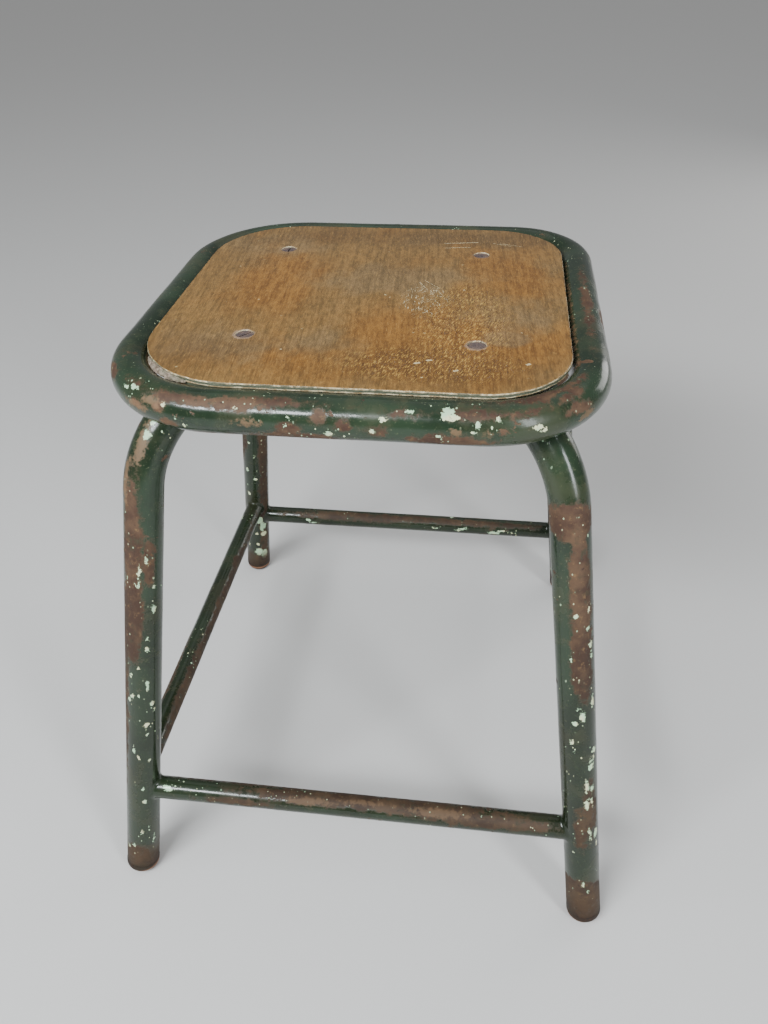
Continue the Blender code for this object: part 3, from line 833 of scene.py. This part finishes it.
def closed_tube(name, sweep, fields, bore=0.0):
    """A swept tube, closed at its start. With a bore, its far end is open and hollow for a way in."""
    segments = len(sweep.roll)
    vertices = list(sweep.vertices().reshape(-1, 3))
    faces = tube_faces(len(sweep.points), segments, sweep.cyclic)
    if not sweep.cyclic:
        last = (len(sweep.points) - 1) * segments
        vertices.append(sweep.points[0])
        faces += fan(0, segments, len(vertices) - 1, flipped=True)
        if bore:
            inside = sweep.radius - LEG_WALL
            way = unit(sweep.points[-1] - sweep.points[-2])
            for depth in (0.0, bore):
                base = len(vertices)
                centre = sweep.points[-1] - way * depth
                for roll in sweep.roll:
                    across = sweep.first[-1] * cos(roll) + sweep.second[-1] * sin(roll)
                    vertices.append(centre + across * inside)
                for j in range(segments):
                    after = (j + 1) % segments
                    faces.append((last + j, last + after, base + after, base + j))
                last = base
        vertices.append(sweep.points[-1] - (way * bore if bore else 0))
        faces += fan(last, segments, len(vertices) - 1)
    extra = len(vertices) - len(sweep.points) * segments
    fields = {field: np.r_[values, np.full(extra, -1.0)] for field, values in fields.items()}
    piece = new_piece(name, vertices, faces, fields)
    piece.data.set_sharp_from_angle(angle=radians(40))
    return piece


def make_ring(paint):
    sweep = Sweep(ring_path(), RING_TUBE, 64, (0, 0, 1), cyclic=True)
    length = sweep.along[-1] + STEP
    sweep.uneven(0.03, 0.0003, 1)
    marks = drawn_marks(RING_WEAR, 1)
    ring = closed_tube("ring_tube", sweep, worn(sweep, marks, length))
    flip(ring)
    finish_piece(ring, paint, "seat_ring")

    weld = RING_MIDDLE + Vector((0, RING_HALF[1], 0))
    half = Vector((0.0022, 0, 0))
    bead = Sweep([weld + half, weld - half], RING_TUBE, 64, (0, 0, 1))
    finish_piece(closed_tube("butt_bead", bead, worn(bead, {})), paint, "ring_butt_weld")


def flip(obj):
    shape = bmesh.new()
    shape.from_mesh(obj.data)
    bmesh.ops.recalc_face_normals(shape, faces=shape.faces)
    shape.to_mesh(obj.data)
    shape.free()


def make_leg(side_y, side_x, paint):
    corner = f"{side_y}_{side_x}"
    lean = leg_lean(side_y, side_x)
    start = FOOT_HEIGHT / lean.z + CAP_TOP
    sweep = Sweep(leg_path(side_y, side_x, start), LEG_TUBE, 56, (1, 0, 0), start=start)
    seed = CORNERS.index((side_y, side_x))
    sweep.uneven(0.035, 0.0003, 5 + seed)
    away = (20, 170) if side_y == "front" else (0, 220)
    everywhere = (
        ("rust", (0.03, 0.42), away, 8, *RUST_PATCH),
        ("chip", (0.03, 0.42), away, 20, *SMALL_CHIP),
        ("chip", (0.03, 0.33), (-130, -30), 14, *SMALL_CHIP),
    )
    marks = drawn_marks(LEG_WEAR[corner] + everywhere, 30 + seed)
    leg = closed_tube(f"leg_tube_{corner}", sweep, worn(sweep, marks), bore=0.045)
    finish_piece(leg, paint, f"leg_{corner}")


def make_foot(side_y, side_x, rust):
    """The domed cap, worn flat on the floor."""
    corner = f"{side_y}_{side_x}"
    lean = leg_lean(side_y, side_x)
    base = foot_point(side_y, side_x) + lean * (FOOT_HEIGHT / lean.z)
    first = (Vector((1, 0, 0)) - lean * lean.x).normalized()
    second = lean.cross(first)
    profile = [(LEG_TUBE, CAP_TOP), (LEG_TUBE, CAP_TOP / 2)]
    profile += arc((LEG_TUBE - FOOT_EDGE, 0), FOOT_EDGE, 0, -90, 14)
    profile += [((LEG_TUBE - FOOT_EDGE) * share, -FOOT_EDGE) for share in (0.75, 0.5, 0.25)]
    segments = 56
    vertices = []
    for radius, height in profile:
        for j in range(segments):
            turn = 2 * pi * j / segments
            point = base + lean * height + (first * cos(turn) + second * sin(turn)) * radius
            vertices.append((point.x, point.y, max(point.z, 0.0)))  # no lower than the floor
    faces = tube_faces(len(profile), segments, False)
    tip = base - lean * FOOT_EDGE
    vertices.append((tip.x, tip.y, max(tip.z, 0.0)))
    last = (len(profile) - 1) * segments
    faces += fan(last, segments, len(vertices) - 1)
    vertices.append(tuple(base + lean * CAP_TOP))
    faces += fan(0, segments, len(vertices) - 1, flipped=True)
    cap = new_piece(f"foot_end_{corner}", vertices, faces)
    flip(cap)
    cap.data.set_sharp_from_angle(angle=radians(40))
    finish_piece(cap, rust, f"foot_cap_{corner}")


def make_seat_weld(side_y, side_x, paint):
    """The bead where the ring lies on the bend of a leg: a flat lump, rippled as a hand-laid weld is."""
    corner = f"{side_y}_{side_x}"
    seat = ring_seat(side_y, side_x)
    bend = leg_path(side_y, side_x, 0)[1:-1]
    down = (min(bend, key=lambda point: (point - seat).length) - seat).normalized()
    middle = seat + down * RING_TUBE
    toward = Vector((SIGN[side_x], SIGN[side_y], 0))
    x_axis = (toward - down * toward.dot(down)).normalized()
    y_axis = down.cross(x_axis)
    shape = bmesh.new()
    bmesh.ops.create_uvsphere(shape, u_segments=48, v_segments=24, radius=1)
    for vert in shape.verts:
        ripple = 1 + 0.03 * noise.noise(vert.co * 4 + Vector((3, 0, 0)))
        local = Vector((vert.co.x * BEAD_REACH, vert.co.y * BEAD_REACH, vert.co.z * BEAD_DEPTH)) * ripple
        vert.co = middle + x_axis * local.x + y_axis * local.y + down * local.z
    mesh = mesh_from(shape, "bead")
    bead = placed(f"seat_bead_{corner}", mesh)
    add_fields(mesh, unworn(len(mesh.vertices)))
    mesh.shade_smooth()
    flip(bead)
    finish_piece(bead, paint, f"seat_weld_{corner}")


def rail_line(side):
    return [leg_point(*end, RAIL_Z[side]) for end in RAIL_ENDS[side]]


def make_rail(side, paint):
    """Roll 0 is the tube's top, and 90 degrees its side away from the middle of the stool."""
    first, last = rail_line(side)
    way = (last - first).normalized()
    hidden = way * HIDDEN
    length = (last - first).length
    sweep = Sweep([first + hidden, last - hidden], RAIL_TUBE, 48, (0, 0, 1), start=HIDDEN - length / 2)
    outward = Vector(((first.x + last.x) / 2, (first.y + last.y) / 2, 0))
    if Vector(sweep.second[0]).dot(outward) < 0:
        sweep.second = -sweep.second
    sweep.uneven(0.03, 0.0002, 20 + len(side))
    hidden_side = {"front": (120, 300), "back": (0, 200), "left": (0, 200), "right": (-180, 180)}[side]
    everywhere = (
        ("rust", (-0.15, 0.15), hidden_side, 4, *RUST_PATCH),
        ("chip", (-0.15, 0.15), hidden_side, 12, *SMALL_CHIP),
    )
    marks = drawn_marks(RAIL_WEAR[side] + everywhere, 40 + len(side))
    rail = closed_tube(f"cross_tube_{side}", sweep, worn(sweep, marks))
    flip(rail)
    finish_piece(rail, paint, f"rail_{side}")
    make_braze(side, RAIL_ENDS[side][0], first, way, paint)
    make_braze(side, RAIL_ENDS[side][1], last, -way, paint)


def saddle(rho, out, way, lean):
    """How far along a cross tube the leg's surface lies, on a line `rho` off its axis towards `out`."""
    way_flat = way - lean * way.dot(lean)
    out_flat = (out - lean * out.dot(lean)) * rho
    a, b, c = way_flat.dot(way_flat), way_flat.dot(out_flat), out_flat.dot(out_flat) - LEG_TUBE**2
    return (sqrt(b * b - a * c) - b) / a


def make_braze(side, end, start, way, paint, steps=72, rows=10):
    """The brazed fillet at a joint: a hollow curve from the leg's skin to the cross tube's, all round."""
    lean = leg_lean(*end)
    up = (lean - way * lean.dot(way)).normalized()
    across = way.cross(up)
    vertices = []
    for step in range(steps):
        turn = 2 * pi * step / steps
        out = up * cos(turn) + across * sin(turn)
        wander = 1 + 0.10 * sin(5 * turn + len(side)) + 0.06 * sin(11 * turn)
        spread = BRAZE * (0.8 + 0.2 * cos(2 * turn)) * wander
        inner = RAIL_TUBE - 0.0002
        root = saddle(inner, out, way, lean)
        leg_toe = Vector((inner + spread, saddle(inner + spread, out, way, lean) - 0.0003))
        rail_toe = Vector((inner, root + spread))
        hollow = Vector((inner, root))
        for i in range(rows + 1):
            share = i / rows
            near, far = leg_toe.lerp(hollow, share), hollow.lerp(rail_toe, share)
            rho, reach = near.lerp(far, share)
            vertices.append(start + out * rho + way * reach)
        vertices.append(start + out * (inner - 0.002) + way * (root - 0.001))
    columns = rows + 2
    faces = []
    for i in range(steps):
        near, far = i * columns, (i + 1) % steps * columns
        for j in range(columns):
            after = (j + 1) % columns
            faces.append((near + j, near + after, far + after, far + j))
    name = f"fillet_{side}_{end[0]}_{end[1]}"
    piece = new_piece(name, vertices, faces, unworn(len(vertices)))
    flip(piece)
    finish_piece(piece, paint, f"braze_{side}_{end[0]}_{end[1]}")


def panel_profile():
    """(inward, downward) pairs round the panel's rim, from its top to its underside."""
    thick = PANEL_HIGH.z - PANEL_LOW.z
    rim = [(PANEL_ROUND - x, PANEL_ROUND - y) for x, y in arc((0, 0), PANEL_ROUND, 90, 0, 6)]
    straight = [(0.0, PANEL_ROUND + (thick - PANEL_CHAMFER[1] - PANEL_ROUND) * i / 4) for i in range(1, 5)]
    slope = [(PANEL_CHAMFER[0] * i / 6, thick - PANEL_CHAMFER[1] * (1 - i / 6)) for i in range(1, 7)]
    return rim + straight + slope


SPLIT_EDGE = (209, 248)  # degrees round the front left corner, counter-clockwise from the right
SPLIT_PLACE = (-0.122, -0.117)  # from the board's middle
SPLIT_REACH = 0.030

# Soft zones on the board, from its middle: x, y, width, length, strength
ZONES = {
    "warm": (
        (0.06, -0.08, 0.15, 0.11, 1.2),  # the front right quarter, where the varnish is thickest
        (-0.08, 0.03, 0.07, 0.14, 0.9),  # left of the middle
        (0.10, 0.05, 0.09, 0.12, 0.7),  # along the right
        (0.00, -0.11, 0.20, 0.06, 0.7),  # along the front
    ),
    "grey": (
        (-0.10, 0.10, 0.09, 0.07, 0.9),  # the back left corner
        (-0.08, -0.09, 0.12, 0.06, 0.5),  # the front left corner
        (0.01, 0.03, 0.12, 0.06, 0.9),  # worn by sitting, about the middle
        (0.06, 0.12, 0.16, 0.04, 0.5),  # the back edge
        (0.10, -0.07, 0.03, 0.02, 1.3),  # beside the front right screw
        (0.11, -0.02, 0.06, 0.08, 0.4),
    ),
    "checked": ((0.07, -0.05, 0.06, 0.14, 1.0), (0.05, -0.11, 0.12, 0.05, 0.8)),
    "dim": (
        (0.05, -0.11, 0.15, 0.06, 0.9),  # dirt towards the front edge
        (0.00, 0.12, 0.26, 0.05, 0.9),  # and the back edge
        (-0.11, -0.11, 0.10, 0.07, 0.8),
        (0.03, 0.06, 0.06, 0.05, 0.6),
    ),
    "scuffed": ((0.04, -0.01, 0.03, 0.05, 1.1),),
}


def zone_field(x, y, zones):
    field = np.zeros(len(x))
    for zone_x, zone_y, wide, long, strength in zones:
        distance = np.hypot((x - zone_x) / (wide / 2), (y - zone_y) / (long / 2))
        field = np.maximum(field, strength * np.clip(1.4 - distance, 0, 1))
    return field


def make_panel(ply):
    """The panel, as loops that shrink towards its middle over the top, down the rim and in under it."""
    outline = [Vector((x, y, 0)) for x, y in rounded_outline(PANEL_HALF, PANEL_CORNER, 48)]
    loop, _ = resampled(outline, 0.0021, cyclic=True)
    count = len(loop)
    outward = unit(np.cross(tangents(loop, True), (0, 0, 1)))
    loops = []
    for share in np.linspace(0.02, 1, 60):
        loops.append((loop - outward * PANEL_ROUND) * share)
    for inward, down in panel_profile():
        loops.append(loop - outward * inward - np.array((0, 0, down)))
    thick = PANEL_HIGH.z - PANEL_LOW.z
    for share in np.linspace(0.96, 0.05, UNDER_LOOPS):
        loops.append((loop - outward * PANEL_CHAMFER[0]) * share - np.array((0, 0, thick)))
    nibble_rim(loops, loop, outward)
    middle = np.array((PANEL_MIDDLE.x, PANEL_MIDDLE.y, PANEL_HIGH.z))
    vertices = np.concatenate(loops) + middle
    faces = tube_faces(len(loops), count, False)
    faces.append(tuple(range(count))[::-1])
    faces.append(tuple((len(loops) - 1) * count + j for j in range(count)))
    panel = new_piece("seat_board", vertices, faces, smooth=False)
    flip(panel)
    bore_holes(panel)
    co = np.array([vertex.co for vertex in panel.data.vertices]) - middle
    add_fields(panel.data, {name: zone_field(co[:, 0], co[:, 1], zones) for name, zones in ZONES.items()})
    panel.data.shade_smooth()
    panel.data.set_sharp_from_angle(angle=radians(40))
    finish_piece(panel, ply, "seat_panel")


def broken_share(x, y):
    """1 in the middle of the front left corner, where the board's edge is split, falling to 0 round it."""
    return max(0.0, min(1.0, 1.9 - hypot(x - SPLIT_PLACE[0], y - SPLIT_PLACE[1]) / SPLIT_REACH))


def nibble_rim(loops, loop, outward):
    """Small bites out of the rim, inwards only, and a straight, split edge at the front left corner."""
    rim = panel_profile()
    first = len(loops) - UNDER_LOOPS - len(rim)
    for i, (inward, down) in enumerate(rim):
        for j, (x, y, _) in enumerate(loop):
            place = Vector((x, y, down * 3))
            bite = 0.0004 * max(0.0, noise.fractal(place * 160, 0.6, 2.2, 4))
            broken = broken_share(x, y)
            stand = broken * max(0.0, inward - PANEL_ROUND)
            lumps = broken * 0.0012 * noise.noise(place * 190) if down > PANEL_ROUND else 0.0
            loops[first + i][j] += outward[j] * (stand - bite - lumps)
    for i in range(len(loops) - UNDER_LOOPS, len(loops) - UNDER_LOOPS + 4):
        for j, (x, y, _) in enumerate(loop):
            loops[i][j] += outward[j] * broken_share(x, y) * PANEL_CHAMFER[0] * 0.6


def make_split_edge(split):
    """The torn, lumpy core that stands out past the board's front left corner, tapering off both ways."""
    radius = PANEL_CORNER["front_left"]
    middle = PANEL_MIDDLE + Vector((radius - PANEL_HALF[0], radius - PANEL_HALF[1], 0))
    turns, segments = np.radians(np.linspace(*SPLIT_EDGE, 90)), 24
    vertices = []
    for i, turn in enumerate(turns):
        outward = Vector((cos(turn), sin(turn), 0))
        swell = sin(pi * i / (len(turns) - 1)) ** 0.45
        spine = middle + outward * (radius + 0.0008 * swell)
        spine.z = PANEL_HIGH.z - 0.0034
        for j in range(segments):
            around_spine = 2 * pi * j / segments
            reach = outward * cos(around_spine) * 0.0027 + Vector((0, 0, sin(around_spine) * 0.0023))
            point = spine + reach * (0.02 + swell)
            lump = noise.fractal(point * 330, 0.7, 2.1, 5) * 0.0009 * swell
            vertices.append(point + reach.normalized() * lump)
    faces = tube_faces(len(turns), segments, cyclic=False)
    faces += [tuple(reversed(range(segments))), tuple(range(len(vertices) - segments, len(vertices)))]
    finish_piece(new_piece("split_edge", vertices, faces), split, "seat_panel")


def bore_holes(panel):
    """Sinks each screw's countersunk hole into the board."""
    for side_y, side_x in CORNERS:
        at = screw_point(side_y, side_x, PANEL_HIGH.z)
        shape = bmesh.new()
        low, high = SCREW_HEAD - 0.001, SCREW_HEAD + 0.0014
        bmesh.ops.create_cone(shape, cap_ends=True, segments=48, radius1=low, radius2=high, depth=0.004)
        cutter = placed("hole", mesh_from(shape, "hole"))
        cutter.location = at - Vector((0, 0, 0.0002))
        cut = panel.modifiers.new("hole", "BOOLEAN")
        cut.operation = "DIFFERENCE"
        cut.solver = "EXACT"
        cut.object = cutter
        with bpy.context.temp_override(object=panel, active_object=panel, selected_objects=[panel]):
            bpy.ops.object.modifier_apply(modifier="hole")
        bpy.data.objects.remove(cutter, do_unlink=True)


def make_hardware(steel):
    for side_y, side_x in CORNERS:
        for kind in ("seat_screw", "washer", "nut"):
            paint_over(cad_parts[f"{kind}_{side_y}_{side_x}"], steel)


# ---- stage ----


def make_stage():
    shape = bmesh.new()
    bmesh.ops.create_grid(shape, x_segments=2, y_segments=2, size=30)
    floor = placed("studio_floor", mesh_from(shape, "studio_floor"))
    finish = Finish("pale_floor")
    finish.colour(shade(205, 204, 202))
    finish.roughness(0.7)
    floor.data.materials.append(finish.material)
    floor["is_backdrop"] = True
    world = bpy.data.worlds.new("studio")
    world.use_nodes = True
    background = world.node_tree.nodes["Background"]
    background.inputs["Color"].default_value = (0.86, 0.88, 0.90, 1)
    background.inputs["Strength"].default_value = 0.30
    bpy.context.scene.world = world


def add_light(name, place, target, size, power, colour=(1, 1, 1)):
    light = bpy.data.lights.new(name, "AREA")
    light.shape = "RECTANGLE"
    light.size, light.size_y = size
    light.energy = power
    light.color = colour
    lamp = placed(name, light)
    lamp.location = place
    lamp.rotation_euler = (Vector(target) - Vector(place)).to_track_quat("-Z", "Y").to_euler()


def make_lights():
    """A soft window, a bright strip for highlights, a tall pane, an overcast sky and a low fill behind."""
    add_light("window", (-1.30, -1.15, 1.80), (0, 0, 0.35), (2.0, 1.3), 15, (0.90, 0.95, 1))
    add_light("strip", (-0.80, -1.40, 1.58), (0, 0, 0.42), (1.10, 0.34), 56, (0.93, 0.97, 1))
    add_light("pane", (1.35, -1.45, 1.10), (0, 0, 0.42), (0.36, 1.20), 30, (0.92, 0.96, 1))
    sun = placed("overcast", bpy.data.lights.new("overcast", "SUN"))
    sun.data.energy = 0.60
    sun.data.angle = radians(80)
    sun.rotation_euler = (radians(-12), radians(8), 0)
    add_light("back_fill", (1.7, 1.5, 0.7), (0, 0, 0.25), (1.2, 0.8), 11, (1, 0.99, 0.97))


CAMERA_PLACE = (0.08635, -0.59506, 0.70783)
CAMERA_TURN = (-8.031, -37.013, -1.386)  # degrees: turn to the right of +Y, tilt up, roll
CAMERA_LENS = 29.73


def make_camera():
    yaw, pitch, roll = (radians(value) for value in CAMERA_TURN)
    ahead = Vector((sin(yaw) * cos(pitch), cos(yaw) * cos(pitch), sin(pitch)))
    right = Vector((cos(yaw), -sin(yaw), 0))
    up = right.cross(ahead)
    rolled_right = right * cos(roll) + up * sin(roll)
    rolled_up = up * cos(roll) - right * sin(roll)
    data = bpy.data.cameras.new("camera")
    data.sensor_fit = "VERTICAL"
    data.sensor_height = 36
    data.lens = CAMERA_LENS
    data.clip_start = 0.01
    camera = placed("camera", data)
    turned = Matrix((rolled_right, rolled_up, -ahead)).transposed().to_4x4()
    camera.matrix_world = Matrix.Translation(CAMERA_PLACE) @ turned
    bpy.context.scene.camera = camera


# ---- assembly ----


def write_sizes():
    sizes = {"cad": CAD_BOX, "visual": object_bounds()}
    plain = {name: [list(corner) for corner in box] for name, box in sizes.items()}


def main():
    paint = worn_paint("worn_green_paint")
    rust = foot_rust("foot_rust")
    steel = dull_steel("dull_steel")
    make_ring(paint)
    for corner in CORNERS:
        make_leg(*corner, paint)
        make_foot(*corner, rust)
        make_seat_weld(*corner, paint)
    for side in RAIL_Z:
        make_rail(side, paint)
    make_panel(varnished_ply("varnished_plywood"))
    make_split_edge(split_core("split_core"))
    make_hardware(steel)
    make_stage()
    make_lights()
    make_camera()
    write_sizes()


main()
